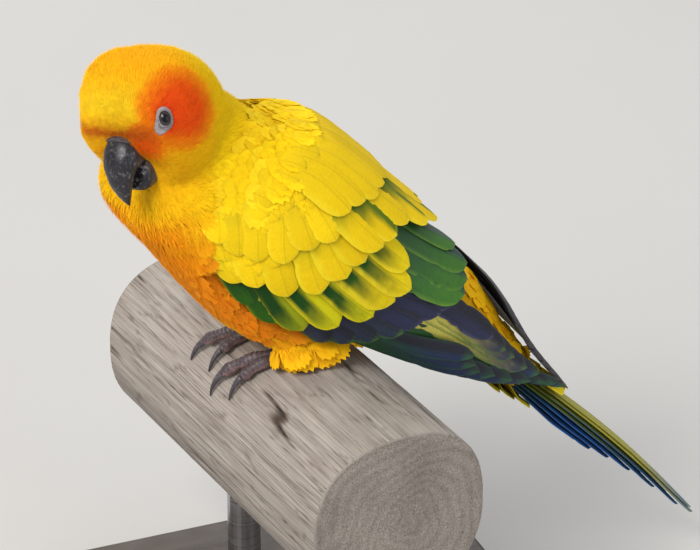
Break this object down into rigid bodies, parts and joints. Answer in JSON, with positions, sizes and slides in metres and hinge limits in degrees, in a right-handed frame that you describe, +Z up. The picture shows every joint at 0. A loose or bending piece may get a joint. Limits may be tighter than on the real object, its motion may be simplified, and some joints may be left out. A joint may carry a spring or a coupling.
{
  "type": "sun conure model",
  "caption": "Life-size still model of a perched sun conure, head turned to its left, gripping a short cut length of round wooden rail on a plain display stand.",
  "frame": {"origin": "centre of the display base's underside, on the floor", "axes": "+Z up, the bird faces -X, its left side is -Y and its tail points to +X"},
  "size_m": [0.1975, 0.1338, 0.1997],
  "materials": {
    "plumage_orange": "soft orange and golden body feathers",
    "plumage_yellow": "soft bright yellow feathers",
    "flight_green": "green flight feathers with a low sheen",
    "flight_blue": "dark blue and green flight feathers with a low sheen",
    "tail_feathers": "olive tail feathers that turn blue at the tip",
    "bill_horn": "blackish horn with a dull shine",
    "eye_dark": "wet dark eye",
    "foot_skin": "scaled pinkish grey skin",
    "claw_horn": "dark slate horn",
    "rail_wood": "weathered grey wood with long cracks",
    "base_board": "dark satin board",
    "rod_steel": "brushed"
  },
  "bodies": {
    "root": {"head": "plumage_orange", "neck": "plumage_orange", "torso": "plumage_orange", "mantle": "plumage_yellow", "tail_coverts_upper": "plumage_yellow", "tail_coverts_under": "plumage_yellow", "thigh_left": "plumage_yellow", "thigh_right": "plumage_yellow", "wing_left_coverts": "plumage_yellow", "wing_right_coverts": "plumage_yellow", "wing_left_secondaries": "flight_green", "wing_right_secondaries": "flight_green", "wing_left_primaries": "flight_blue", "wing_right_primaries": "flight_blue", "tail": "tail_feathers", "bill_upper": "bill_horn", "bill_lower": "bill_horn", "eye_left": "eye_dark", "eye_right": "eye_dark", "foot_left": "foot_skin", "foot_right": "foot_skin", "claw_left_1": "claw_horn", "claw_left_2": "claw_horn", "claw_left_3": "claw_horn", "claw_left_4": "claw_horn", "claw_right_1": "claw_horn", "claw_right_2": "claw_horn", "claw_right_3": "claw_horn", "claw_right_4": "claw_horn", "perch_rail": "rail_wood", "stand_base": "base_board", "stand_rod_1": "rod_steel", "stand_rod_2": "rod_steel"}
  },
  "joints": []
}
